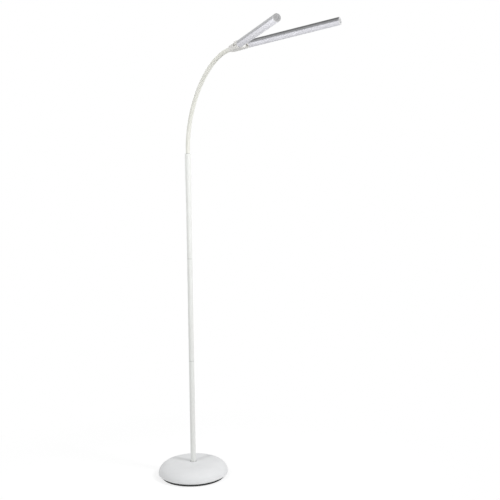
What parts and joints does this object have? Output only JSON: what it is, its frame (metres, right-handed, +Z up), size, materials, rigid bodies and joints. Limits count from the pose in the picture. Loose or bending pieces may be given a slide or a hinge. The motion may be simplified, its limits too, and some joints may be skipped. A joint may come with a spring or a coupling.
{
  "type": "floor lamp",
  "caption": "Floor lamp with a round weighted base, a slim jointed pole, a bending neck and a pair of light bars that fold open like a V.",
  "frame": {"origin": "on the floor, under the pole's axis", "axes": "+Z up along the pole, +X from the pole towards the head, +Y to the left of somebody who looks along +X"},
  "size_m": [0.6625, 0.2743, 1.4177],
  "materials": {
    "white_enamel": "smooth satin paint",
    "white_shell": "smooth satin moulding",
    "neck_sleeve": "smooth matt sleeve",
    "hub_shell": "satin moulding",
    "bar_metal": "satin anodised",
    "diffuser": "frosted",
    "cap_grey": "satin moulding",
    "foot_rubber": "matt",
    "bare_steel": "plain",
    "ballast_iron": "as cast",
    "thread_brass": "turned",
    "black_plastic": "moulded",
    "washer_nylon": "plain",
    "board_green": "lacquered",
    "board_white": "lacquered",
    "led_phosphor": "clear resin"
  },
  "bodies": {
    "stand": {"foot_pad": "foot_rubber", "base_plate": "bare_steel", "plate_screws": "bare_steel", "base_weight": "ballast_iron", "base_shell": "white_shell", "pole_flange": "bare_steel", "flange_screws": "bare_steel", "pole_stud": "bare_steel", "stud_nut": "bare_steel", "dc_jack": "black_plastic", "jack_nut": "bare_steel", "feed_cable": "black_plastic", "lower_tube": "white_enamel", "middle_tube": "white_enamel", "upper_tube": "white_enamel", "tube_inserts": "thread_brass", "lower_coupler": "thread_brass", "upper_coupler": "thread_brass", "neck_ferrule": "white_enamel", "neck_anchor": "neck_sleeve"},
    "neck_1": {"neck_link_1": "neck_sleeve"},
    "neck_2": {"neck_link_2": "neck_sleeve"},
    "neck_3": {"neck_link_3": "neck_sleeve"},
    "neck_4": {"neck_link_4": "neck_sleeve"},
    "neck_5": {"neck_link_5": "neck_sleeve"},
    "neck_6": {"neck_link_6": "neck_sleeve"},
    "neck_7": {"neck_link_7": "neck_sleeve"},
    "head": {"neck_link_8": "neck_sleeve", "hub_upper": "hub_shell", "hub_lower": "hub_shell", "hub_screws": "bare_steel", "pivot_pin_left": "bare_steel", "pivot_pin_right": "bare_steel", "pivot_washers": "washer_nylon", "control_board": "board_green", "push_switch": "black_plastic"},
    "bar_left": {"root_cap_left": "cap_grey", "root_screws_left": "bare_steel", "housing_left": "bar_metal", "diffuser_left": "diffuser", "led_board_left": "board_white", "leds_left": "led_phosphor", "end_cap_left": "cap_grey"},
    "bar_right": {"root_cap_right": "cap_grey", "root_screws_right": "bare_steel", "housing_right": "bar_metal", "diffuser_right": "diffuser", "led_board_right": "board_white", "leds_right": "led_phosphor", "end_cap_right": "cap_grey"},
    "button": {"dimmer_button": "cap_grey"}
  },
  "joints": [
    {"name": "neck_bend_1", "type": "hinge", "parent": "stand", "child": "neck_1", "pos_m": [0, 0, 1.07], "axis": [0, 1, 0], "range_deg": [-25, 25]},
    {"name": "neck_sway_1", "type": "hinge", "parent": "neck_1", "child": "neck_2", "pos_m": [0.00356, 0, 1.11883], "axis": [-0.9894, 0, 0.1451], "range_deg": [-25, 25]},
    {"name": "neck_bend_2", "type": "hinge", "parent": "neck_2", "child": "neck_3", "pos_m": [0.01417, 0, 1.16662], "axis": [0, 1, 0], "range_deg": [-25, 25]},
    {"name": "neck_sway_2", "type": "hinge", "parent": "neck_3", "child": "neck_4", "pos_m": [0.03162, 0, 1.21236], "axis": [-0.9059, 0, 0.4235], "range_deg": [-25, 25]},
    {"name": "neck_bend_3", "type": "hinge", "parent": "neck_4", "child": "neck_5", "pos_m": [0.05559, 0, 1.25505], "axis": [0, 1, 0], "range_deg": [-25, 25]},
    {"name": "neck_sway_3", "type": "hinge", "parent": "neck_5", "child": "neck_6", "pos_m": [0.08576, 0, 1.29359], "axis": [-0.7365, 0, 0.6765], "range_deg": [-25, 25]},
    {"name": "neck_bend_4", "type": "hinge", "parent": "neck_6", "child": "neck_7", "pos_m": [0.12199, 0, 1.32649], "axis": [0, 1, 0], "range_deg": [-25, 25]},
    {"name": "neck_sway_4", "type": "hinge", "parent": "neck_7", "child": "head", "pos_m": [0.16416, 0, 1.35122], "axis": [-0.4019, 0, 0.9157], "range_deg": [-25, 25]},
    {"name": "bar_left_fold", "type": "hinge", "parent": "head", "child": "bar_left", "pos_m": [0.26556, 0.0129, 1.36901], "axis": [-0.0778, -0.1271, 0.9888], "range_deg": [-22.5, 67.5]},
    {"name": "bar_right_fold", "type": "hinge", "parent": "head", "child": "bar_right", "pos_m": [0.26582, -0.0129, 1.36572], "axis": [0.0778, 0.1271, -0.9888], "range_deg": [-22.5, 67.5]},
    {"name": "button_press", "type": "slide", "parent": "head", "child": "button", "axis": [0.0778, 0.1271, -0.9888], "range_m": [0, 0.0008], "stiffness_N_per_m": 400, "springref_m": -0.002}
  ]
}
